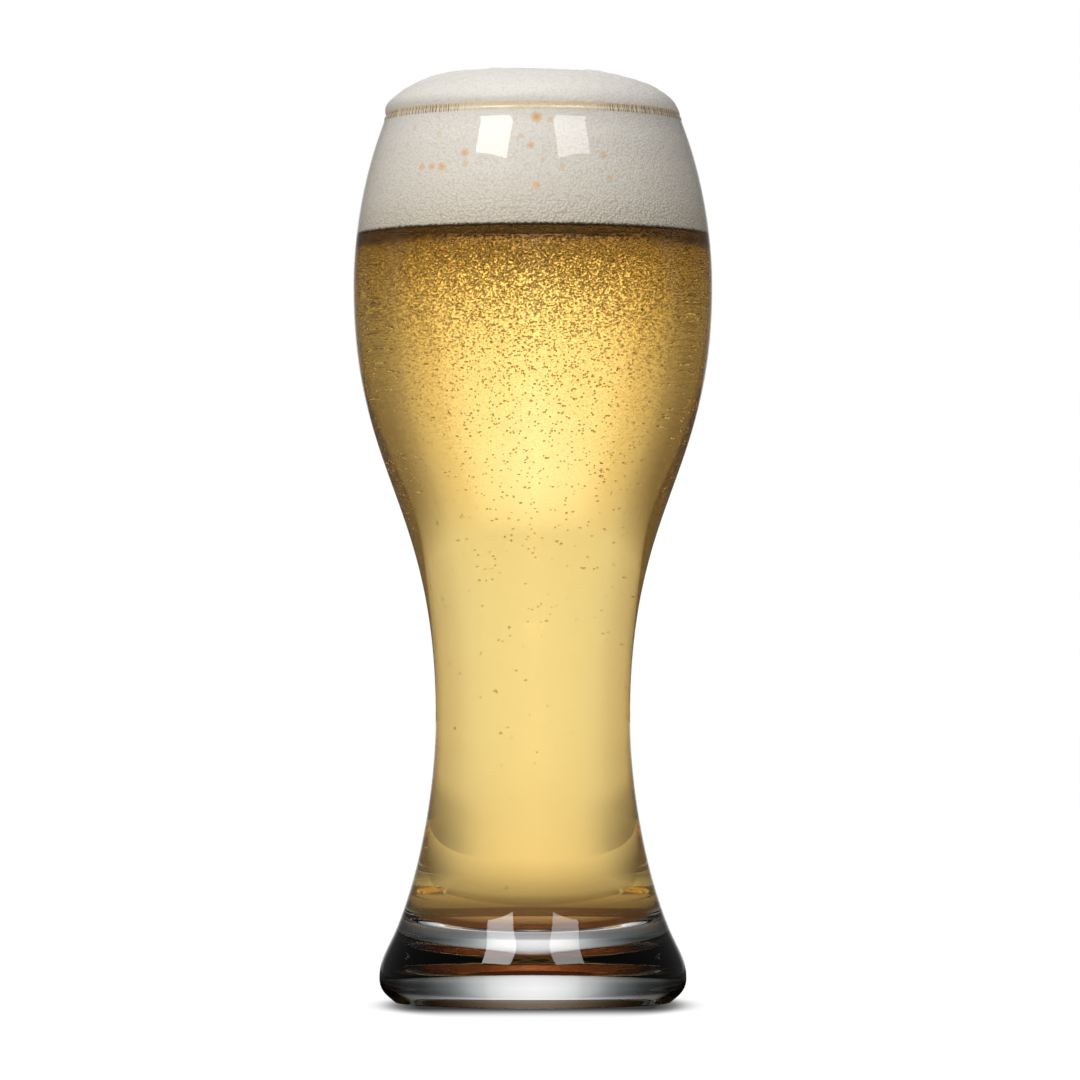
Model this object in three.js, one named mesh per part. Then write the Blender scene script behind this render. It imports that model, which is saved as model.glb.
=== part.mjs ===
// A tall footed beer glass with a round belly, a narrow waist and a thick flared foot,
// poured full of pale beer under a head of foam that stands over the lip.
// Millimetres, +Z up. The origin is the middle of the ring that the glass stands on.
import * as THREE from "three";

// The blown glass, outside, from the table up
const heelRadius = 38.9;
const heelHeight = 6.1;
const heelOverhang = 4;
const ringWidth = 3.2;
const puntDepth = 2.2;
const flareInset = 4.6;
const flareRise = 13.1;
const waistRadius = 24.65;
const waistHeight = 71.5;
const bellyRadius = 45.6;
const waistToBelly = 110;
const lipRadius = 37.9;
const bellyToLip = 43.5;

// The thickness of the glass
const floorThickness = 16.6;
const bowlDepth = 6.9;
const bowlCorner = 6;
const bowlInset = 12.6;
const waistWall = 3;
const bellyWall = 2.3;
const lipWall = 2.4;
const beadSwell = 0.5;

// What is poured in: the foam's depth inside the glass, and how far it stands over the lip
const headDepth = 30.7;
const headRise = 12;
const headInset = 0.5;
const swellHeight = 0.5;
const crownLean = 0.5;

// Two solids that touch in the real glass lie this far apart
const contactGap = 0.3;
// Two points of a profile closer than this are one point
const samePoint = 0.003;

// How far the wall leans in at the lip and at the flare of the foot, as shares of its rise
const lipLeanShare = 0.39;
const flareLeanShare = 0.404;
// How far a curve keeps its first or last direction, as shares of its own rise
const lipHandleShare = 0.49;
const bellyTopShare = 0.045;
const bellyBottomShare = 0.445;
const waistTopShare = 0.51;
const waistBottomShare = 0.243;
const flareTopShare = 0.332;
const flareBottomShare = 0.382;
const heelTopShare = 0.375;
const heelBottomShare = 0.525;
const innerWaistShare = 0.56;
const bowlHandleShare = 0.3;
// Where the heel's underside heads for, as shares of its overhang and of its height
const undercutOutShare = 0.505;
const undercutUpShare = 0.268;

// The crown's fullness is 2 for a true ellipse and more for squarer shoulders
const crownFullness = 2.3;
// How many swells cross the foam from side to side, along x and along y
const swellsAlong = 1.6;
const swellsAcross = 1.1;
// The crown leans to the left in the lowest part of its rise
const leanRiseShare = 0.3;

// How finely the surfaces are cut: steps round the axis, and steps along each curve
const turnSteps = 60;
const taperSteps = 10;
const flareSteps = 8;
const archSteps = 5;

const quarterTurn = Math.PI / 2;
const bellyHeight = waistHeight + waistToBelly;
const glassHeight = bellyHeight + bellyToLip;
const beerLevel = glassHeight - headDepth;

// A point of a profile: its radius, and its height above the table
function at(radius, height) {
  return new THREE.Vector2(radius, height);
}

// A curve up the wall between two stations, upright at each end unless it leans in there
function rise(low, lowShare, high, highShare, lowLean = 0, highLean = 0) {
  const height = high.y - low.y;
  const lowHandle = lowShare * height;
  const highHandle = highShare * height;
  return new THREE.CubicBezierCurve(
    low,
    at(low.x - lowLean * lowHandle, low.y + lowHandle),
    at(high.x + highLean * highHandle, high.y - highHandle),
    high,
  );
}

// The wall from the belly up to the lip, where it leans in
function shoulder(belly, lip) {
  return rise(belly, bellyTopShare, lip, lipHandleShare, 0, lipLeanShare);
}

function arc(centre, width, height, from, to) {
  return new THREE.EllipseCurve(centre.x, centre.y, width, height, from, to, to < from);
}

// The points of several curves, end to end, without the doubled ones where they meet
function follow(...stretches) {
  const points = [];
  for (const [curve, steps] of stretches) {
    for (const point of curve.getPoints(steps)) {
      if (points.length && points.at(-1).distanceTo(point) < samePoint) continue;
      points.push(point);
    }
  }
  return points;
}

// A solid of revolution. Its profile starts low on the axis and ends high on the axis
function turned(profile) {
  profile[0].x = 0;
  profile.at(-1).x = 0;
  return new THREE.LatheGeometry(profile, turnSteps).rotateX(quarterTurn);
}

// The lip is a bead, drawn together by the flame from the end of the leaning wall
const beadRadius = (lipWall + beadSwell) / 2;
const beadCentre = at(lipRadius - beadRadius, glassHeight - beadRadius);
const upTheLip = at(-lipLeanShare, 1).normalize();
const acrossTheLip = at(1, lipLeanShare).normalize();
const beadDrop = Math.sqrt(beadRadius ** 2 - (lipWall / 2) ** 2);
const lipFoot = beadCentre.clone().addScaledVector(upTheLip, -beadDrop);
const lipOutside = lipFoot.clone().addScaledVector(acrossTheLip, lipWall / 2);
const lipInside = lipFoot.clone().addScaledVector(acrossTheLip, -lipWall / 2);

// The inside of the glass, from the middle of the bowl's flat bottom up to the bead
const bowlRim = at(heelRadius - bowlInset, floorThickness + bowlDepth);
const innerWaist = at(waistRadius - waistWall, waistHeight);
const innerBelly = at(bellyRadius - bellyWall, bellyHeight);
const cornerCentre = at(bowlRim.x - bowlCorner, bowlRim.y);
const inside = follow(
  [new THREE.LineCurve(at(0, floorThickness), at(cornerCentre.x, floorThickness)), 1],
  [arc(cornerCentre, bowlCorner, bowlDepth, -quarterTurn, 0), archSteps],
  [rise(bowlRim, bowlHandleShare, innerWaist, innerWaistShare), flareSteps],
  [rise(innerWaist, waistTopShare, innerBelly, bellyBottomShare), taperSteps],
  [shoulder(innerBelly, lipInside), archSteps],
);

// The heel's underside, from the ring that stands on the table up to the widest ring of the foot
function undercut(ringOutside, heel) {
  return new THREE.CubicBezierCurve(
    at(ringOutside, 0),
    at(ringOutside + undercutOutShare * heelOverhang, undercutUpShare * heel.y),
    at(heel.x, heel.y - heelBottomShare * heel.y),
    heel,
  );
}

function glassProfile() {
  const ringOutside = heelRadius - heelOverhang;
  const ringInside = ringOutside - ringWidth;
  const heel = at(heelRadius, heelHeight);
  const flare = at(heelRadius - flareInset, heelHeight + flareRise);
  const waist = at(waistRadius, waistHeight);
  const belly = at(bellyRadius, bellyHeight);
  const beadStart = lipOutside.clone().sub(beadCentre).angle() - 4 * quarterTurn;
  const beadEnd = lipInside.clone().sub(beadCentre).angle();
  const outside = follow(
    [arc(at(0, 0), ringInside, puntDepth, quarterTurn, 0), archSteps],
    [new THREE.LineCurve(at(ringInside, 0), at(ringOutside, 0)), 1],
    [undercut(ringOutside, heel), archSteps],
    [rise(heel, heelTopShare, flare, flareBottomShare, 0, flareLeanShare), archSteps],
    [rise(flare, flareTopShare, waist, waistBottomShare, flareLeanShare, 0), flareSteps],
    [rise(waist, waistTopShare, belly, bellyBottomShare), taperSteps],
    [shoulder(belly, lipOutside), archSteps],
    [arc(beadCentre, beadRadius, beadRadius, beadStart, beadEnd), 2 * archSteps],
  );
  return [...outside, ...inside.slice(0, -1).reverse()];
}

// What is poured in follows the inside of the glass, one contact gap off the wall
const pouredWall = inside.map((point, i) => {
  const before = inside[Math.max(i - 1, 0)];
  const after = inside[Math.min(i + 1, inside.length - 1)];
  const along = after.clone().sub(before).normalize();
  return at(point.x - along.y * contactGap, point.y + along.x * contactGap);
});

// Where the poured wall stands at a height
function pouredRadius(height) {
  const i = pouredWall.findIndex((point) => point.y > height);
  const [low, high] = [pouredWall[i - 1], pouredWall[i]];
  return low.x + (high.x - low.x) * (height - low.y) / (high.y - low.y);
}

function beerProfile() {
  return [
    ...pouredWall.filter((point) => point.y < beerLevel - samePoint),
    at(pouredRadius(beerLevel), beerLevel),
    at(0, beerLevel),
  ];
}

// The head rests on the beer, fills the neck, wraps the bead and rises over it in a low dome
function headProfile() {
  const headBase = beerLevel + contactGap;
  const brim = glassHeight + contactGap;
  const edge = lipRadius - headInset;
  const clear = beadRadius + contactGap;
  const crown = [];
  for (let i = 0; i <= flareSteps; i++) {
    const turn = quarterTurn * i / flareSteps;
    crown.push(at(
      edge * Math.cos(turn) ** (2 / crownFullness),
      brim + (headRise - contactGap) * Math.sin(turn) ** (2 / crownFullness),
    ));
  }
  return [
    at(0, headBase),
    at(pouredRadius(headBase), headBase),
    ...pouredWall.filter((point) => point.y > headBase + samePoint),
    ...arc(beadCentre, clear, clear, 2 * quarterTurn, quarterTurn).getPoints(archSteps),
    ...crown,
  ];
}

// The foam is heaped to the left, with soft swells in its top, which die out towards the lip
function swollen(head) {
  const place = head.getAttribute("position");
  for (let i = 0; i < place.count; i++) {
    const height = (place.getZ(i) - glassHeight - contactGap) / headRise;
    if (height <= 0) continue;
    const along = Math.sin(swellsAlong * Math.PI * place.getX(i) / lipRadius);
    const across = Math.cos(swellsAcross * Math.PI * place.getY(i) / lipRadius);
    const lean = Math.sin(quarterTurn * Math.min(height / leanRiseShare, 1));
    place.setZ(i, place.getZ(i) - swellHeight * height * (1 + along * across) / 2);
    place.setX(i, place.getX(i) - crownLean * lean);
  }
  return head;
}

function piece(name, geometry, look) {
  const mesh = new THREE.Mesh(geometry, new THREE.MeshStandardMaterial(look));
  mesh.name = name;
  return mesh;
}

const clearGlass = {
  color: 0xe8f0ee, roughness: 0.02, metalness: 0, transparent: true, opacity: 0.3,
};
const paleBeer = {
  color: 0xf0c35c, roughness: 0.05, metalness: 0, transparent: true, opacity: 0.85,
};
const whiteFoam = { color: 0xe6e0d6, roughness: 0.7, metalness: 0 };

const filledGlass = new THREE.Group();
filledGlass.add(
  piece("glass", turned(glassProfile()), clearGlass),
  piece("beer", turned(beerProfile()), paleBeer),
  piece("foam_head", swollen(turned(headProfile())), whiteFoam),
);

export default filledGlass;
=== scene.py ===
import math
import random

import bmesh
import bpy
import numpy as np
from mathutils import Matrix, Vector, noise


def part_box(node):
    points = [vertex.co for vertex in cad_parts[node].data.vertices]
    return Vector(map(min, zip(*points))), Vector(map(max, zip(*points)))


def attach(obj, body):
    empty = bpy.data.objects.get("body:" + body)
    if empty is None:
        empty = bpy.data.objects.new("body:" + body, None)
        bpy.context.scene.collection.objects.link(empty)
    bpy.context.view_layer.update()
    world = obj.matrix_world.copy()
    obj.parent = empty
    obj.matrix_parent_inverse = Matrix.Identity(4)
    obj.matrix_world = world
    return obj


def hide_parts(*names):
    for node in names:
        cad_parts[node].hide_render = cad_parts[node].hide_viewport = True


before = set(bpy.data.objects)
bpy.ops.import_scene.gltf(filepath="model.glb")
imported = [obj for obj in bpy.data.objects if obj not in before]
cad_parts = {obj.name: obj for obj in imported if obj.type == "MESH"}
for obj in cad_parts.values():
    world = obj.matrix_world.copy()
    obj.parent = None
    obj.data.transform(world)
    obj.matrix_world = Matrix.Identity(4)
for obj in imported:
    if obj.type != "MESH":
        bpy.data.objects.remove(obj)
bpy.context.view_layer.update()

# The glass
# One piece of clear soda-lime glass, pressed at the foot and blown above it, with no seam or joint.
# The flame has rounded its lip to a bead, and it stands on a narrow ring round a hollowed middle.
mm = 0.001
glass_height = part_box("glass")[1].z
belly_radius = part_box("glass")[1].x
belly_height = 181.5 * mm
waist_radius = 24.65 * mm
waist_height = 71.5 * mm
heel_radius = 38.9 * mm
heel_height = 6.1 * mm
heel_overhang = 4 * mm
ring_width = 3.2 * mm
punt_depth = 2.2 * mm
flare_inset = 4.6 * mm
flare_rise = 13.1 * mm
flare_lean_share = 0.404
lip_radius = 37.9 * mm
lip_lean_share = 0.39
floor_thickness = 16.6 * mm
bowl_depth = 6.9 * mm
bowl_corner = 6 * mm
bowl_radius = 26.3 * mm
waist_wall = 3 * mm
belly_wall = 2.3 * mm
lip_wall = 2.4 * mm
bead_radius = 1.45 * mm
beer_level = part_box("beer")[1].z

# How far each curve of the wall keeps its first or last direction, as shares of its own rise
bowl_rim_share = 0.3
inner_waist_share = 0.56
waist_top_share = 0.51
belly_bottom_share = 0.445
belly_top_share = 0.045
lip_share = 0.49
heel_top_share = 0.375
flare_bottom_share = 0.382
flare_top_share = 0.332
waist_bottom_share = 0.243

# Where the heel's underside heads for, as shares of its overhang and of its height
undercut_out_share = 0.505
undercut_up_share = 0.268
heel_bottom_share = 0.475

# How finely the surfaces are cut: steps round the axis, and steps along each curve
turn_steps = 256
taper_steps = 60
flare_steps = 40
bend_steps = 24
under_steps = 16
# Two points of a profile closer than this are one point
same_point = 1e-6


def bend(start, leave, arrive, end, steps):
    """The points of one smooth curve of a profile, as rows of radius and height."""
    t = np.linspace(0, 1, steps + 1)[:, None]
    start, leave, arrive, end = (np.array(p, float) for p in (start, leave, arrive, end))
    return (start * (1 - t) ** 3 + 3 * leave * t * (1 - t) ** 2
            + 3 * arrive * t ** 2 * (1 - t) + end * t ** 3)


def arc(centre, width, height, first, last, steps):
    """The points of an arc of an ellipse, from one angle to another in quarter turns."""
    turn = np.linspace(first, last, steps + 1) * math.pi / 2
    return np.column_stack([centre[0] + width * np.cos(turn), centre[1] + height * np.sin(turn)])


def wall(low, low_share, high, high_share, steps, low_lean=0.0, high_lean=0.0):
    """A stretch of wall that stands upright at each end, unless it leans in there."""
    rise = high[1] - low[1]
    low_handle = low_share * rise
    high_handle = high_share * rise
    return bend(low, (low[0] - low_lean * low_handle, low[1] + low_handle),
                (high[0] + high_lean * high_handle, high[1] - high_handle), high, steps)


def above_waist(narrow, wide, top):
    """The two stretches of wall from the waist out to the belly, and from there in to the lip."""
    taper = wall(narrow, waist_top_share, wide, belly_bottom_share, taper_steps)
    neck = wall(wide, belly_top_share, top, lip_share, bend_steps, high_lean=lip_lean_share)
    return taper, neck


def end_to_end(*stretches):
    """Stretches of a profile joined into one, without the doubled points where they meet."""
    points = np.vstack(stretches)
    steps = np.linalg.norm(np.diff(points, axis=0), axis=1)
    return points[np.concatenate([[True], steps > same_point])]


def turned(name, profile):
    """A closed mesh turned on the axis from a profile that starts low and ends high on it."""
    rings = profile[1:-1]
    angle = np.arange(turn_steps) * 2 * math.pi / turn_steps
    around = np.column_stack([np.cos(angle), np.sin(angle)])
    points = [np.array([[0, 0, profile[0][1]]])]
    points += [np.column_stack([around * r, np.full(turn_steps, z)]) for r, z in rings]
    points.append(np.array([[0, 0, profile[-1][1]]]))
    here = np.arange(turn_steps)
    after = (here + 1) % turn_steps
    faces = [(0, 1 + b, 1 + a) for a, b in zip(here, after)]
    for ring in range(len(rings) - 1):
        low = 1 + ring * turn_steps
        high = low + turn_steps
        faces += [(low + a, low + b, high + b, high + a) for a, b in zip(here, after)]
    last = 1 + (len(rings) - 1) * turn_steps
    faces += [(last + a, last + b, last + turn_steps) for a, b in zip(here, after)]
    mesh = bpy.data.meshes.new(name)
    mesh.from_pydata(np.vstack(points).tolist(), [], [tuple(map(int, f)) for f in faces])
    mesh.polygons.foreach_set("use_smooth", [True] * len(mesh.polygons))
    mesh.update()
    piece = bpy.data.objects.new(name, mesh)
    bpy.context.scene.collection.objects.link(piece)
    return piece


bead = (lip_radius - bead_radius, glass_height - bead_radius)
up_lip = np.array([-lip_lean_share, 1]) / math.hypot(lip_lean_share, 1)
across_lip = np.array([up_lip[1], -up_lip[0]])
lip_foot = np.array(bead) - up_lip * math.sqrt(bead_radius ** 2 - (lip_wall / 2) ** 2)
lip_outside = lip_foot + across_lip * lip_wall / 2
lip_inside = lip_foot - across_lip * lip_wall / 2

bowl_rim = (bowl_radius, floor_thickness + bowl_depth)
inner_waist = (waist_radius - waist_wall, waist_height)
inner_belly = (belly_radius - belly_wall, belly_height)
inside_wall = end_to_end(
    [(0, floor_thickness)],
    arc((bowl_radius - bowl_corner, bowl_rim[1]), bowl_corner, bowl_depth, -1, 0, bend_steps),
    wall(bowl_rim, bowl_rim_share, inner_waist, inner_waist_share, flare_steps),
    *above_waist(inner_waist, inner_belly, lip_inside),
)

heel = (heel_radius, heel_height)
flare = (heel_radius - flare_inset, heel_height + flare_rise)
waist = (waist_radius, waist_height)
belly = (belly_radius, belly_height)
ring_outside = heel_radius - heel_overhang
ring_inside = ring_outside - ring_width
bead_start = math.atan2(*(lip_outside - bead)[::-1]) / (math.pi / 2)
bead_end = math.atan2(*(lip_inside - bead)[::-1]) / (math.pi / 2) + 4
outside_wall = end_to_end(
    arc((0, 0), ring_inside, punt_depth, 1, 0, under_steps),
    bend((ring_outside, 0),
         (ring_outside + undercut_out_share * heel_overhang, undercut_up_share * heel_height),
         (heel_radius, heel_bottom_share * heel_height), heel, under_steps),
    wall(heel, heel_top_share, flare, flare_bottom_share, bend_steps, high_lean=flare_lean_share),
    wall(flare, flare_top_share, waist, waist_bottom_share, flare_steps, low_lean=flare_lean_share),
    *above_waist(waist, belly, lip_outside),
    arc(bead, bead_radius, bead_radius, bead_start, bead_end, bend_steps),
)
blown_glass = turned("blown_glass", end_to_end(outside_wall, inside_wall[::-1]))

glass_index = 1.52
beer_index = 1.345
clear_tint = (0.985, 0.99, 0.985)
ripple_width = 9 * mm
ripple_depth = 0.012 * mm


def node_finish(name):
    """A new material with its shader, its output and the means to add and link nodes."""
    finish = bpy.data.materials.new(name)
    finish.use_nodes = True
    tree = finish.node_tree
    return finish, tree, tree.nodes["Principled BSDF"], tree.nodes["Material Output"]


def feed(tree, value, socket):
    """Gives an input its number or its colour, or the output that it takes them from."""
    if isinstance(value, bpy.types.NodeSocket):
        tree.links.new(value, socket)
    else:
        socket.default_value = (*value, 1) if isinstance(value, tuple) else value


def reckoned(tree, operation, *values):
    """The result of one sum on sockets or plain numbers."""
    node = tree.nodes.new("ShaderNodeMath")
    node.operation = operation
    for value, socket in zip(values, node.inputs):
        feed(tree, value, socket)
    return node.outputs[0]


def follows(tree, socket, *stops):
    """A grey level or a colour that follows a number through a few stops."""
    low, high = stops[0][0], stops[-1][0]
    along = tree.nodes.new("ShaderNodeMapRange")
    along.inputs["From Min"].default_value = low
    along.inputs["From Max"].default_value = high
    tree.links.new(socket, along.inputs["Value"])
    fall = tree.nodes.new("ShaderNodeValToRGB")
    ramp = fall.color_ramp
    while len(ramp.elements) < len(stops):
        ramp.elements.new(0.5)
    for element, (at, value) in zip(ramp.elements, stops):
        element.position = (at - low) / (high - low)
        element.color = (*value, 1) if isinstance(value, tuple) else (value, value, value, 1)
    tree.links.new(along.outputs["Result"], fall.inputs[0])
    return fall.outputs["Color"]


def blended(tree, share, first, second, kind="MIX"):
    """Two colours mixed by a share."""
    both = tree.nodes.new("ShaderNodeMix")
    both.data_type = "RGBA"
    both.blend_type = kind
    ends = [s for s in both.inputs if s.type == "RGBA"]
    for value, socket in zip((share, first, second), (both.inputs["Factor"], *ends)):
        feed(tree, value, socket)
    return next(s for s in both.outputs if s.type == "RGBA")


def either_shader(tree, share, first, second):
    """Two shaders mixed by a share."""
    both = tree.nodes.new("ShaderNodeMixShader")
    for value, socket in zip((share, first, second), both.inputs):
        feed(tree, value, socket)
    return both.outputs["Shader"]


def places(tree):
    """Where a point lies on the object, and its x, y and z."""
    place = tree.nodes.new("ShaderNodeTexCoord").outputs["Object"]
    parts = tree.nodes.new("ShaderNodeSeparateXYZ")
    tree.links.new(place, parts.inputs[0])
    return place, *parts.outputs


def grain(tree, place, size, detail=2.0):
    """An uneven pattern, whose patches are about as wide as the size given."""
    pattern = tree.nodes.new("ShaderNodeTexNoise")
    pattern.inputs["Scale"].default_value = 1 / size
    pattern.inputs["Detail"].default_value = detail
    tree.links.new(place, pattern.inputs["Vector"])
    return pattern.outputs["Fac"]


def raised(tree, shader, height, depth, beneath=None):
    """Bumps of a given depth on a finish."""
    bump = tree.nodes.new("ShaderNodeBump")
    bump.inputs["Strength"].default_value = 1.0
    bump.inputs["Distance"].default_value = depth
    tree.links.new(height, bump.inputs["Height"])
    if beneath:
        tree.links.new(beneath, bump.inputs["Normal"])
    tree.links.new(bump.outputs["Normal"], shader.inputs["Normal"])
    return bump.outputs["Normal"]


def ray_is(tree, first, second):
    """1 for a ray of either kind, and 0 for any other."""
    light = tree.nodes.new("ShaderNodeLightPath")
    return reckoned(tree, "MAXIMUM", light.outputs[first], light.outputs[second])


def lets_light_through(tree, shader, output, tint):
    """Lets light that goes from the lamps to the foam pass straight through, tinted."""
    passes = ray_is(tree, "Is Shadow Ray", "Is Diffuse Ray")
    clear = tree.nodes.new("ShaderNodeBsdfTransparent")
    clear.inputs["Color"].default_value = (*tint, 1)
    either = either_shader(tree, passes, shader.outputs["BSDF"], clear.outputs["BSDF"])
    tree.links.new(either, output.inputs["Surface"])


def aside_from(tree, direction):
    """How far a ray turns aside from a direction: 0 where it runs along it and 1 across it."""
    weight = tree.nodes.new("ShaderNodeLayerWeight")
    tree.links.new(direction, weight.inputs["Normal"])
    return weight.outputs["Facing"]


def how_level(tree):
    """How level a ray runs, whichever way it heads: 0 is straight up or down, and 1 is level."""
    down = tree.nodes.new("ShaderNodeCombineXYZ")
    down.inputs["Z"].default_value = -1
    return aside_from(tree, down.outputs[0])


def painted_shade_edge_on(tree, shader):
    """Paints shade on the heavy glass of the foot: darker the more it is seen edge on, and paler
    from above.
    """
    _, x, y, height = places(tree)
    outward = tree.nodes.new("ShaderNodeCombineXYZ")
    tree.links.new(x, outward.inputs["X"])
    tree.links.new(y, outward.inputs["Y"])
    unit = tree.nodes.new("ShaderNodeVectorMath")
    unit.operation = "NORMALIZE"
    tree.links.new(outward.outputs[0], unit.inputs[0])
    edge_shade = follows(
        tree, aside_from(tree, unit.outputs["Vector"]),
        (0, (0.77, 0.77, 0.77)), (0.017, (0.7, 0.71, 0.71)), (0.04, (0.58, 0.59, 0.59)),
        (0.056, (0.42, 0.43, 0.43)), (0.115, (0.23, 0.24, 0.245)), (0.134, (0.19, 0.2, 0.205)),
        (0.167, (0.14, 0.15, 0.155)), (0.296, (0.048, 0.054, 0.057)),
        (0.457, (0.034, 0.039, 0.042)), (0.52, (0.012, 0.012, 0.011)), (1, (0.01, 0.01, 0.01)))
    from_above = follows(tree, how_level(tree), (0.25, 1.0), (0.48, 0.0))
    edge_shade = blended(tree, from_above, edge_shade, (0.72, 0.74, 0.74))
    foot = follows(tree, height, (17 * mm, 1.0), (21 * mm, 0.0))
    tree.links.new(blended(tree, foot, clear_tint, edge_shade), shader.inputs["Base Color"])


def painted_shade_on_corner(tree, shader):
    """Paints a deep orange-brown shade on the corner of the bowl where it is seen from below, over
    the foot's heel.
    """
    deep = follows(tree, how_level(tree), (0.735, (0.05, 0.008, 0.003)), (0.8, clear_tint))
    corner = follows(tree, places(tree)[3], (23.2 * mm, 1.0), (24.2 * mm, 0.0))
    tree.links.new(blended(tree, corner, clear_tint, deep), shader.inputs["Base Color"])


def clear_glass(name, index):
    """Fire-polished glass with the faint unevenness that the blowing leaves in it."""
    finish, tree, shader, output = node_finish(name)
    shader.inputs["Base Color"].default_value = (*clear_tint, 1)
    # The foot's glass and the bowl's corner get a painted shade by the angle they are seen at
    if index == glass_index:
        painted_shade_edge_on(tree, shader)
    else:
        painted_shade_on_corner(tree, shader)
    shader.inputs["Roughness"].default_value = 0.0
    shader.inputs["IOR"].default_value = index
    shader.inputs["Transmission Weight"].default_value = 1.0
    raised(tree, shader, grain(tree, places(tree)[0], ripple_width), ripple_depth)
    lets_light_through(tree, shader, output, (0.95, 0.96, 0.955))
    return finish


blown_glass.data.materials.append(clear_glass("glass_against_air", glass_index))
blown_glass.data.materials.append(clear_glass("glass_against_beer", glass_index / beer_index))
outer_rings = len(outside_wall) - 2
for face in blown_glass.data.polygons:
    ring = min(face.vertices) // turn_steps
    if ring >= outer_rings and face.center.z < beer_level:
        face.material_index = 1
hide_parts("glass")
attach(blown_glass, "root")

# The beer
# Clear golden beer, poured until it stands about 31 mm below the lip.
# It fills the glass to a hair's breadth off the wall, and the inside of the glass bends the light.
hair = 0.05 * mm
haze_width = 14 * mm
glint_width = 0.42 * mm


def poured_wall(gap):
    """The inside of the glass, drawn in by a gap."""
    along = np.gradient(inside_wall, axis=0)
    along /= np.linalg.norm(along, axis=1)[:, None]
    return inside_wall + np.column_stack([-along[:, 1], along[:, 0]]) * gap


def cut_at(profile, height):
    """The point of a wall's profile at a height."""
    return (np.interp(height, profile[:, 1], profile[:, 0]), height)


beer_wall = poured_wall(hair)
beer_wall[0] = (0, beer_wall[0][1])
poured_beer = turned("poured_beer", np.vstack([
    beer_wall[beer_wall[:, 1] < beer_level - hair],
    cut_at(beer_wall, beer_level), (0, beer_level),
]))
finish, tree, shader, output = node_finish("golden_beer")
place, _, _, height = places(tree)
haze = grain(tree, place, haze_width)
# The beer's colour by height, with painted shade: dark brown at the very bottom and in the band
# under the foam
amber_and_painted_light = follows(
    tree, height, (floor_thickness + 0.2 * mm, (0.36, 0.14, 0.045)),
    (floor_thickness + 0.6 * mm, (0.5, 0.29, 0.1)), (floor_thickness + 4 * mm, (0.86, 0.61, 0.25)),
    (32 * mm, (0.92, 0.68, 0.29)), (60 * mm, (0.97, 0.76, 0.35)), (100 * mm, (0.98, 0.79, 0.39)),
    (140 * mm, (0.98, 0.79, 0.39)), (beer_level - 30 * mm, (0.97, 0.75, 0.32)),
    (beer_level - 18 * mm, (0.97, 0.74, 0.27)), (beer_level - 10 * mm, (0.95, 0.69, 0.21)),
    (beer_level - 5 * mm, (0.87, 0.58, 0.14)), (beer_level - 3.6 * mm, (0.62, 0.37, 0.09)),
    (beer_level - 3 * mm, (0.2, 0.1, 0.024)), (beer_level, (0.11, 0.052, 0.016)))
# Painted glints and shade of the fizz: gold specks between dark brown patches, most under the foam
painted_glints_and_shade = follows(
    tree, grain(tree, place, glint_width, 1.0), (0.38, (0.14, 0.08, 0.04)),
    (0.46, (0.4, 0.27, 0.15)), (0.52, (1.0, 0.95, 0.8)), (0.7, (1.0, 1.0, 1.0)))
glint_share = follows(
    tree, height, (130 * mm, 0.0), (beer_level - 34 * mm, 0.3), (beer_level - 16 * mm, 0.75),
    (beer_level - 4 * mm, 0.95))
amber_and_painted_light = blended(tree, glint_share, amber_and_painted_light, painted_glints_and_shade, "MULTIPLY")
shader.inputs["Roughness"].default_value = 0.0
shader.inputs["IOR"].default_value = 1.0
shader.inputs["Transmission Weight"].default_value = 0.88
hazy_and_painted_light = blended(tree, 0.06, amber_and_painted_light, blended(tree, haze, (0.6, 0.4, 0.1), (1.0, 0.95, 0.7)))
tree.links.new(hazy_and_painted_light, shader.inputs["Base Color"])
depth_tint = tree.nodes.new("ShaderNodeVolumeAbsorption")
depth_tint.inputs["Color"].default_value = (0.956, 0.783, 0.005, 1)
depth_tint.inputs["Density"].default_value = 8.1
tree.links.new(depth_tint.outputs["Volume"], output.inputs["Volume"])
lets_light_through(tree, shader, output, (0.97, 0.85, 0.5))
poured_beer.data.materials.append(finish)
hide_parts("beer")
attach(poured_beer, "root")

# The fizz
# Fine bubbles of gas in the beer, thick under the foam and on the wall and fewer downwards.
# Each is a small ball that bends light the other way, so it shows dark round a bright middle.
gas_index = 1 / beer_index
gas_patch_width = 5 * mm
wall_scatter = 0.004
dark_band = 3.2 * mm
draw = np.random.default_rng(7)


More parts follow.
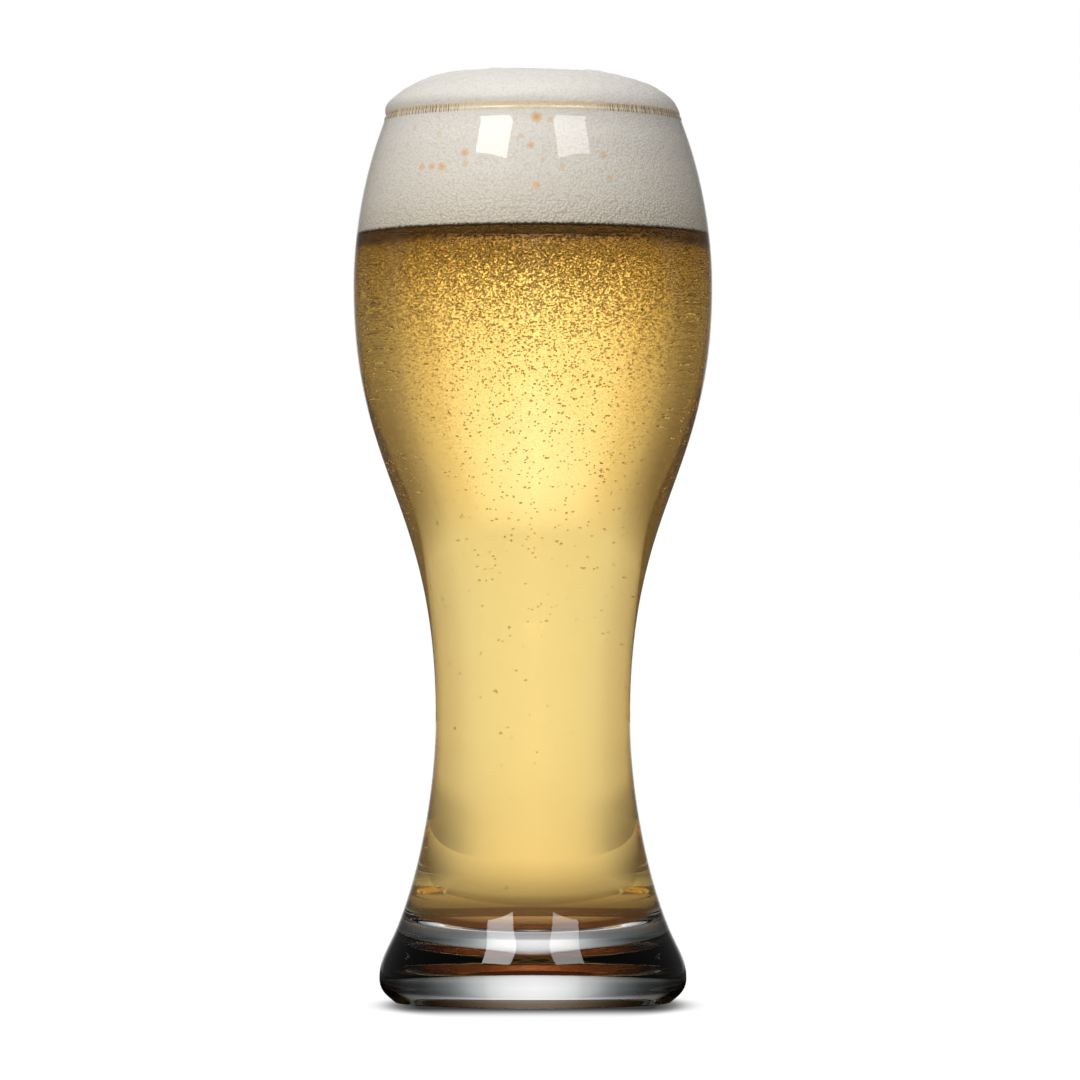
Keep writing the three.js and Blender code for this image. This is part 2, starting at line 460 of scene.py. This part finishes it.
def bubbles(name, count, reach, smallest, largest, below=0.0, at_wall=False):
    """One mesh of small balls, placed by chance below the foam and fewer the lower."""
    ball = bmesh.new()
    bmesh.ops.create_icosphere(ball, subdivisions=1, radius=1)
    corners = np.array([v.co for v in ball.verts])
    faces = np.array([[v.index for v in f.verts] for f in ball.faces])
    ball.free()
    radius = draw.uniform(smallest, largest, count)
    depth = radius + hair + below + draw.exponential(reach, count)
    z = np.clip(beer_level - depth, bowl_rim[1], None)
    room = np.interp(z, beer_wall[:, 1], beer_wall[:, 0]) - radius - 3 * hair
    if at_wall:
        out = room * (1 - draw.exponential(wall_scatter, count))
    else:
        out = room * np.sqrt(draw.uniform(0, 1, count))
    turn = draw.uniform(0, 2 * math.pi, count)
    middle = np.column_stack([out * np.cos(turn), out * np.sin(turn), z])
    points = (middle[:, None, :] + corners[None] * radius[:, None, None]).reshape(-1, 3)
    corner_of = (faces[None] + (np.arange(count) * len(corners))[:, None, None]).reshape(-1)
    mesh = bpy.data.meshes.new(name)
    mesh.vertices.add(len(points))
    mesh.vertices.foreach_set("co", points.ravel())
    mesh.loops.add(len(corner_of))
    mesh.loops.foreach_set("vertex_index", corner_of.astype(np.int32))
    mesh.polygons.add(len(corner_of) // 3)
    mesh.polygons.foreach_set("loop_start", np.arange(0, len(corner_of), 3, dtype=np.int32))
    mesh.polygons.foreach_set("use_smooth", np.ones(len(corner_of) // 3, bool))
    mesh.update(calc_edges=True)
    mesh.validate()
    piece = bpy.data.objects.new(name, mesh)
    bpy.context.scene.collection.objects.link(piece)
    mesh.materials.append(fizz)
    piece.visible_shadow = False
    piece.visible_diffuse = False
    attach(piece, "root")


fizz, tree, shader, output = node_finish("gas_in_beer")
tree.nodes.remove(shader)
gas = tree.nodes.new("ShaderNodeBsdfGlass")
gas.inputs["IOR"].default_value = gas_index
gas.inputs["Roughness"].default_value = 0.0
gas_patches = grain(tree, places(tree)[0], gas_patch_width)
tree.links.new(blended(tree, gas_patches, (1, 0.93, 0.72), (1, 0.98, 0.9)), gas.inputs["Color"])
tree.links.new(gas.outputs["BSDF"], output.inputs["Surface"])

bubbles("fizz_under_the_foam", 6000, 6 * mm, 0.16 * mm, 0.28 * mm, below=dark_band)
bubbles("fizz_in_the_belly", 4600, 19 * mm, 0.15 * mm, 0.26 * mm, below=dark_band)
bubbles("fizz_on_the_wall", 9000, 10 * mm, 0.13 * mm, 0.25 * mm, below=dark_band, at_wall=True)
bubbles("fizz_at_the_foam_line", 2400, 0.5 * mm, 0.14 * mm, 0.3 * mm, at_wall=True)
bubbles("lone_bubbles", 40, 40 * mm, 0.25 * mm, 0.4 * mm, below=50 * mm)

# The head
# Off-white foam that stands on the beer, wets the wall of the neck and covers the lip.
# It rises over the lip in a low dome, heaped a little to the left where the last of it was poured.
head_base = beer_level - hair
wetting = 0.1 * mm
soaked_depth = 1.1 * mm
soaked_below_lip = 15 * mm
soaked_rise = 12 * mm
soaked_bead = 0.62 * bead_radius
soaked_quarters = (3.9, 4.5)
crown_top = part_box("foam_head")[1].z
crown_height = crown_top - glass_height
crown_edge = lip_radius - 0.5 * mm
crown_lean = 0.5 * mm
crown_lean_share = 0.3
crown_settled = 0.3 * mm
crown_fullness = 2.3
crown_steps = 48
swell_width = 2.2 * mm
swell_height = 0.2 * mm
pock_width = 0.9 * mm
pock_height = 0.1 * mm
small_lumps = 36

foam_wall = poured_wall(-wetting)
up_the_neck = np.clip((foam_wall[:, 1] - glass_height + soaked_below_lip) / soaked_rise, 0, 1)
foam_wall[:, 0] += soaked_depth * up_the_neck ** 2 * (3 - 2 * up_the_neck)
turn = np.linspace(0, 1, crown_steps + 1) * math.pi / 2
crown = np.column_stack([
    crown_edge * np.cos(turn) ** (2 / crown_fullness),
    glass_height + crown_height * np.sin(turn) ** (2 / crown_fullness),
])
foam_crown = turned("foam_crown", end_to_end(
    [(0, head_base), cut_at(foam_wall, head_base)],
    foam_wall[(foam_wall[:, 1] > head_base + hair) & (foam_wall[:, 1] < lip_inside[1])],
    arc(bead, soaked_bead, soaked_bead, *soaked_quarters, bend_steps // 2),
    crown,
))

# Lumps of the crown, in millimetres: how far right of the middle and behind it, how wide and high
lift = random.Random(3)
lumps = [(-24, -4, 10, 0.75), (-14, -6, 2.6, -0.45), (-10, -8, 4, 0.5), (8, -10, 4, -0.3),
         (17, -8, 7, 0.3), (33, -2, 7, -0.3), (4, -8, 11, -0.45), (-33, -4, 7, -0.9)]
lumps += [(lift.uniform(-30, 30), lift.uniform(-14, 32), lift.uniform(3, 7),
           lift.uniform(-0.4, 0.3)) for _ in range(small_lumps)]
lumps = [tuple(length * mm for length in lump) for lump in lumps]
for vertex in foam_crown.data.vertices:
    p = vertex.co
    share = (p.z - glass_height) / crown_height
    if share > 0:
        heaped = sum(
            h * math.exp(-((p.x - x) ** 2 + (p.y - y) ** 2) / r ** 2) for x, y, r, h in lumps)
        heaped += (swell_height * noise.noise(p / swell_width)
                   + pock_height * noise.noise(p / pock_width))
        p.z += min(share * 2, 1) * (heaped - crown_settled)
        p.x -= crown_lean * math.sin(math.pi / 2 * min(share / crown_lean_share, 1))
        p.z = min(p.z, crown_top)
foam_crown.data.update()

finish, tree, shader, _ = node_finish("beer_foam")
place, x, y, height = places(tree)
blotch_width = 7 * mm
cell_width = 0.62 * mm
cell_depth = 0.22 * mm
soft_width = 2.5 * mm
soft_depth = 0.12 * mm
# The foam's colour by height. Low in the neck it is darker, partly wet with beer and partly painted
# shade; towards the crown's top it is lighter, painted light
foam_colour_and_painted_light = follows(
    tree, height,
    (beer_level, (0.68, 0.6, 0.49)), (beer_level + 6 * mm, (0.75, 0.68, 0.585)),
    (beer_level + 16 * mm, (0.81, 0.75, 0.67)), (glass_height - 1.9 * mm, (0.9, 0.85, 0.775)),
    (glass_height - 1.4 * mm, (0.86, 0.72, 0.52)), (glass_height + 0.2 * mm, (0.86, 0.7, 0.49)),
    (glass_height + 0.9 * mm, (0.71, 0.68, 0.625)), (glass_height + 6 * mm, (0.75, 0.725, 0.675)),
    (crown_top, (0.93, 0.91, 0.87)))
blotch = reckoned(tree, "MULTIPLY", grain(tree, place, blotch_width, 3.0), 0.35)
foam_colour_and_painted_light = blended(tree, blotch, foam_colour_and_painted_light, (0.97, 0.94, 0.9), "MULTIPLY")

# The foam's cells, with painted shade in their pits, plainest at the wall just above the beer
cells = tree.nodes.new("ShaderNodeTexVoronoi")
cells.inputs["Scale"].default_value = 1 / cell_width
tree.links.new(place, cells.inputs["Vector"])
pit_shade = follows(tree, cells.outputs["Distance"], (0.0, 1.06), (0.3, 1.02), (0.6, 0.86), (0.9, 0.7))
fine = follows(tree, height, (beer_level, 1.0), (beer_level + 8 * mm, 0.6), (glass_height, 0.35))
foam_colour_and_painted_light = blended(tree, fine, foam_colour_and_painted_light, pit_shade, "MULTIPLY")

# Amber drops left in the foam: degrees round from the front, and height and width in millimetres
drops = ((1.4, 221.1, 1.1), (6.6, 220.6, 0.7), (-4.3, 216.4, 0.6), (-0.7, 213.9, 0.8),
         (3.5, 210.2, 0.5), (26, 211.7, 0.8), (27.5, 206.2, 0.7), (10.3, 208.5, 0.6),
         (-25, 212.2, 0.9), (-24.3, 209.5, 0.7), (-33.5, 209, 0.9), (-38, 209.2, 0.8),
         (-42.5, 209.2, 0.8), (1.3, 203.8, 0.8), (-50, 219.4, 0.6), (-37, 217.4, 0.6),
         (95, 214, 0.9), (118, 207, 0.7), (150, 219, 0.8), (176, 211, 1.0),
         (-160, 216, 0.7), (-128, 208, 0.8), (-95, 218, 0.9))
for degrees, up, wide in drops:
    a = math.radians(degrees)
    out = np.interp(up * mm, foam_wall[:, 1], foam_wall[:, 0])
    away = tree.nodes.new("ShaderNodeVectorMath")
    away.operation = "DISTANCE"
    away.inputs[1].default_value = (out * math.sin(a), -out * math.cos(a), up * mm)
    tree.links.new(place, away.inputs[0])
    stain = min(0.88 * wide ** 1.5, 0.97)
    share = follows(
        tree, away.outputs["Value"],
        (0, stain), (0.6 * wide * mm, 0.7 * stain), (1.6 * wide * mm, 0.0))
    foam_colour_and_painted_light = blended(tree, share, foam_colour_and_painted_light, (0.8, 0.36, 0.04))

# Fine dark ticks between the lip and the foam, in patches round the glass
heading = reckoned(tree, "ARCTAN2", x, reckoned(tree, "MULTIPLY", y, -1))
dark_ticks = tree.nodes.new("ShaderNodeTexNoise")
dark_ticks.noise_dimensions = "1D"
dark_ticks.inputs["Scale"].default_value = 95
dark_ticks.inputs["Detail"].default_value = 4.0
tree.links.new(heading, dark_ticks.inputs["W"])
patches = follows(tree, heading, *((math.radians(a), share) for a, share in (
    (-180, 0.5), (-150, 0.9), (-128, 0.0), (-95, 0.5), (-66, 1.0), (-34, 0.9), (-25, 0.0),
    (24, 0.0), (33, 0.9), (70, 1.0), (84, 0.3), (104, 0.0), (140, 0.8), (180, 0.5))))
tick_share = reckoned(
    tree, "MULTIPLY", follows(tree, dark_ticks.outputs["Fac"], (0.52, 0.0), (0.57, 0.97)),
    follows(tree, height, (glass_height - 2.0 * mm, 0.0), (glass_height - 1.5 * mm, 1.0),
            (glass_height - 0.2 * mm, 1.0), (glass_height + 0.4 * mm, 0.0)))
tick_share = reckoned(tree, "MULTIPLY", tick_share, patches)
foam_colour_and_painted_light = blended(tree, tick_share, foam_colour_and_painted_light, (0.05, 0.028, 0.014))

# The uneven dark line where the foam stands in the beer: partly foam soaked with beer, partly
# painted shade
dark_line = head_base + 0.3 * mm
ragged_width = 0.8 * mm
ragged_height = 1.4 * mm
lowered = reckoned(tree, "SUBTRACT", height, ragged_height / 2)
uneven = reckoned(tree, "MULTIPLY_ADD", grain(tree, place, ragged_width), ragged_height, lowered)
line_share = follows(tree, uneven, (dark_line - 0.1 * mm, 1.0), (dark_line + 0.15 * mm, 0.0))
foam_colour_and_painted_light = blended(tree, line_share, foam_colour_and_painted_light, (0.16, 0.085, 0.04))
tree.links.new(foam_colour_and_painted_light, shader.inputs["Base Color"])
shader.inputs["Roughness"].default_value = 0.5
shader.inputs["Coat Weight"].default_value = 0.2
shader.inputs["Coat Roughness"].default_value = 0.25
soft = raised(tree, shader, grain(tree, place, soft_width, 3.0), soft_depth)
coarse = follows(
    tree, height,
    (beer_level, 1.0), (beer_level + 9 * mm, 0.36), (glass_height, 0.24), (crown_top, 0.5))
pits = reckoned(tree, "MULTIPLY", cells.outputs["Distance"], coarse)
raised(tree, shader, pits, cell_depth, soft)
foam_crown.data.materials.append(finish)
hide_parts("foam_head")
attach(foam_crown, "root")

# The table
# A wide sheet of matt white card, which lies level under the glass. The camera sees it white, with
# a painted soft shade of the glass. The glass shows it with painted light, as under a paper tent:
# bright in four directions, dim between them, and darker and amber close to the foot.
table_size = 40
bpy.ops.mesh.primitive_plane_add(size=table_size, location=(0, 0, -hair))
table = bpy.context.object
table.name = "table"
eighth = math.pi / 4
tent_turn = math.radians(-0.35)
broad_stops = ((0, 1.2), (9, 1.12), (14, 1.04), (21, 0.88), (27, 0.82), (36, 0.8), (45, 0.7))
narrow_stops = ((0, 1.26), (5, 1.17), (9, 0.98), (12, 0.74), (16, 0.42), (21, 0.24), (25, 0.14),
                (31, 0.07), (45, 0.02))
warm_shade = (1.0, 0.7, 0.3)
cool_shade = (0.92, 1.0, 1.06)
shade_forward = 14 * mm
shade_right = 0.7 * mm
shade_spread = 3.7


def off_lit_side(tree):
    """How many degrees round the glass a place is from the nearest of the four lit sides."""
    _, x, y, _ = places(tree)
    heading = reckoned(tree, "SUBTRACT", reckoned(tree, "ARCTAN2", x, y), tent_turn)
    return reckoned(tree, "MULTIPLY", reckoned(tree, "PINGPONG", heading, eighth), 180 / math.pi)


def tent_light(tree, breadth):
    """The tent's light: bright in four directions, and falling off widely or closely."""
    degrees_off = off_lit_side(tree)
    shades = []
    for stops, tone in ((narrow_stops, cool_shade), (broad_stops, warm_shade)):
        toned = []
        for degrees, light in stops:
            shade = max(1 - light, 0)
            toned.append((degrees, tuple(light * (1 - shade + shade * c) for c in tone)))
        shades.append(follows(tree, degrees_off, *toned))
    return blended(tree, breadth, *shades)


finish, tree, shader, output = node_finish("white_table")
shader.inputs["Base Color"].default_value = (0.4, 0.4, 0.4, 1)
shader.inputs["Roughness"].default_value = 0.6
shader.inputs["Specular IOR Level"].default_value = 0.0
light = tree.nodes.new("ShaderNodeLightPath")

# What the camera sees: nearly pure white, with a painted shade a little before the middle of the
# glass
white = tree.nodes.new("ShaderNodeEmission")
_, x, y, _ = places(tree)
before = reckoned(tree, "ABSOLUTE", reckoned(tree, "ADD", y, shade_forward))
beside = reckoned(tree, "ABSOLUTE", reckoned(tree, "SUBTRACT", x, shade_right))
spread = reckoned(tree, "MULTIPLY", before, shade_spread)
beside = reckoned(tree, "MULTIPLY_ADD", spread, before, beside)
shade = reckoned(
    tree, "MULTIPLY",
    follows(tree, beside, (30 * mm, 1.0), (33 * mm, 0.91), (35 * mm, 0.8), (36.3 * mm, 0.64),
            (37.8 * mm, 0.43), (39.3 * mm, 0.25), (40.8 * mm, 0.12), (42.6 * mm, 0.045),
            (46 * mm, 0.0)),
    follows(tree, before, (20 * mm, 0.96), (30 * mm, 0.85), (40 * mm, 0.59), (50 * mm, 0.27),
            (60 * mm, 0.08), (72 * mm, 0.0)))
tree.links.new(reckoned(tree, "MULTIPLY_ADD", shade, -1.13, 1.1), white.inputs["Strength"])
seen = either_shader(tree, 0.92, shader.outputs["BSDF"], white.outputs["Emission"])

# What the glass shows: the tent's painted light on the table, with a painted shade and amber glow
# close round the foot
length = tree.nodes.new("ShaderNodeVectorMath")
length.operation = "LENGTH"
tree.links.new(places(tree)[0], length.inputs[0])
reach = length.outputs["Value"]
lit = tent_light(tree, follows(tree, reach, (70 * mm, 0.1), (130 * mm, 0.6), (160 * mm, 0.8)))
near_amber_glow = follows(
    tree, reach, (34 * mm, (1.0, 0.9, 0.78)), (40 * mm, (1.0, 0.5, 0.2)),
    (45 * mm, (1.0, 0.5, 0.2)), (54 * mm, (1.0, 0.9, 0.75)), (62 * mm, (1.0, 1.0, 1.0)))
near_shade = follows(
    tree, reach, (24 * mm, 0.45), (34 * mm, 0.24), (39 * mm, 0.04), (45 * mm, 0.15),
    (50 * mm, 0.24), (60 * mm, 0.3), (68 * mm, 0.42), (84 * mm, 0.52), (112 * mm, 0.79),
    (150 * mm, 1.0))
dimmed = reckoned(tree, "MULTIPLY_ADD", light.outputs["Is Reflection Ray"], -0.93, 1.0)
bent = tree.nodes.new("ShaderNodeEmission")
tree.links.new(blended(tree, 1.0, lit, near_amber_glow, "MULTIPLY"), bent.inputs["Color"])
tree.links.new(reckoned(tree, "MULTIPLY", near_shade, dimmed), bent.inputs["Strength"])

straight = either_shader(tree, light.outputs["Is Camera Ray"], shader.outputs["BSDF"], seen)
through = ray_is(tree, "Is Transmission Ray", "Is Glossy Ray")
either = either_shader(tree, through, straight, bent.outputs["Emission"])
tree.links.new(either, output.inputs["Surface"])
finish.cycles.emission_sampling = "NONE"
table.data.materials.append(finish)

# The tent
# A drum of white paper that stands round the glass, open above and below. Its light is painted on
# it:
# bright from four sides, dim between them, and dim amber high up. Only the light bent through the
# glass and the beer meets it, and the camera looks through it.
tent_radius = 150 * mm
tent_height = 700 * mm
tent_sides = 96
bpy.ops.mesh.primitive_cylinder_add(
    vertices=tent_sides, radius=tent_radius, depth=tent_height, end_fill_type="NOTHING",
    location=(0, 0, tent_height / 2))
tent = bpy.context.object
tent.name = "tent"
bpy.ops.object.transform_apply(location=True)
finish, tree, _, output = node_finish("white_paper")
height = places(tree)[3]
breadth = follows(tree, height, (8 * mm, 0.25), (24 * mm, 0.5), (34 * mm, 0.9), (60 * mm, 1.0))
aside = off_lit_side(tree)
upper_light = follows(
    tree, aside, (0, (2.3, 2.35, 3.1)), (5, (2.05, 1.95, 2.15)), (9, (1.28, 1.12, 0.88)),
    (12, (0.97, 0.82, 0.58)), (17, (0.44, 0.35, 0.22)), (21, (0.32, 0.255, 0.155)),
    (25, (0.26, 0.2, 0.12)), (36, (0.32, 0.25, 0.16)), (45, (0.23, 0.18, 0.12)))
lean = reckoned(tree, "MULTIPLY_ADD", aside, -0.3 * mm, height)
upper = follows(tree, lean, (154 * mm, 0.0), (190 * mm, 1.0))
walls = blended(tree, upper, tent_light(tree, breadth), upper_light)
# Painted dim amber light high up on the drum
roof = follows(tree, height, (212 * mm, 0.0), (226 * mm, 1.0))
paper = tree.nodes.new("ShaderNodeEmission")
tree.links.new(blended(tree, roof, walls, (0.3, 0.14, 0.07)), paper.inputs["Color"])
tree.links.new(paper.outputs["Emission"], output.inputs["Surface"])
finish.cycles.emission_sampling = "NONE"
tent.data.materials.append(finish)
tent.visible_camera = False
tent.visible_diffuse = False
tent.visible_glossy = False
tent.visible_shadow = False
tent.visible_volume_scatter = False

# The studio
# White all round to the camera. The glass shows it white behind and dim elsewhere.
# The foam is lit by a softbox at either side of the camera, by soft washes from the left and from
# overhead, and a little from behind.
aim_height = 200 * mm
world = bpy.data.worlds.new("studio")
bpy.context.scene.world = world
world.use_nodes = True
tree = world.node_tree
backdrop = tree.nodes["Background"]
sky = tree.nodes.new("ShaderNodeTexCoord")
parts = tree.nodes.new("ShaderNodeSeparateXYZ")
tree.links.new(sky.outputs["Generated"], parts.inputs[0])
behind = parts.outputs["Y"]
mirrored = follows(tree, behind, (0.5, 0.06), (0.9, 0.08), (0.96, 0.25), (0.99, 0.9), (1, 1.0))
ambient = follows(tree, behind, (0.5, 0.16), (0.9, 0.4), (1, 0.4))
light = tree.nodes.new("ShaderNodeLightPath")
bends = ray_is(tree, "Is Glossy Ray", "Is Transmission Ray")
unseen = blended(tree, bends, ambient, mirrored)
surround = blended(tree, light.outputs["Is Camera Ray"], unseen, (1.0, 1.0, 1.0))
tree.links.new(surround, backdrop.inputs["Color"])


def softbox(name, azimuth, elevation, reach, width, height, power):
    """A flat lamp aimed at the glass from an azimuth right of the camera and an elevation."""
    a, e = math.radians(azimuth), math.radians(elevation)
    aim = Vector((0, 0, aim_height))
    away = Vector((math.sin(a) * math.cos(e), -math.cos(a) * math.cos(e), math.sin(e)))
    lamp = bpy.data.lights.new(name, "AREA")
    lamp.shape = "RECTANGLE"
    lamp.size, lamp.size_y = width, height
    lamp.energy = power
    holder = bpy.data.objects.new(name, lamp)
    holder.location = aim + away * reach
    holder.rotation_euler = away.to_track_quat("Z", "Y").to_euler()
    holder.visible_transmission = False
    bpy.context.scene.collection.objects.link(holder)
    return holder


for name, azimuth, power in (("left_softbox", -32, 22), ("right_softbox", 32, 14.5)):
    softbox(name, azimuth, elevation=41.9, reach=3.0, width=1.1, height=0.92, power=power)
for name, azimuth, elevation, power in (("left_wash", -35, 35, 11.5), ("top_wash", 20, 80, 9.0)):
    wash = softbox(name, azimuth, elevation, reach=1.6, width=0.8, height=0.8, power=power)
    wash.visible_glossy = False

# The camera
# It looks across the table from a third of the way up the glass, tilted up a little.
# Its lens is long, so the rims of the glass look nearly flat.
picture_side = 1080
lens_pixels = 6400
horizon_row = 692
camera_right = 1.8 * mm
camera_before = 1624 * mm
camera_height = 78.5 * mm
light_bounces = 32
eye = bpy.data.cameras.new("camera")
eye.sensor_width = 36
eye.lens = eye.sensor_width * lens_pixels / picture_side
eye.clip_end = 100
camera = bpy.data.objects.new("camera", eye)
camera.location = (camera_right, -camera_before, camera_height)
tilt = math.atan((horizon_row - picture_side / 2) / lens_pixels)
camera.rotation_euler = (math.pi / 2 + tilt, 0, 0)
bpy.context.scene.collection.objects.link(camera)
bpy.context.scene.camera = camera

bpy.context.scene.view_settings.view_transform = "Standard"
bpy.context.scene.cycles.max_bounces = light_bounces
bpy.context.scene.cycles.transmission_bounces = light_bounces
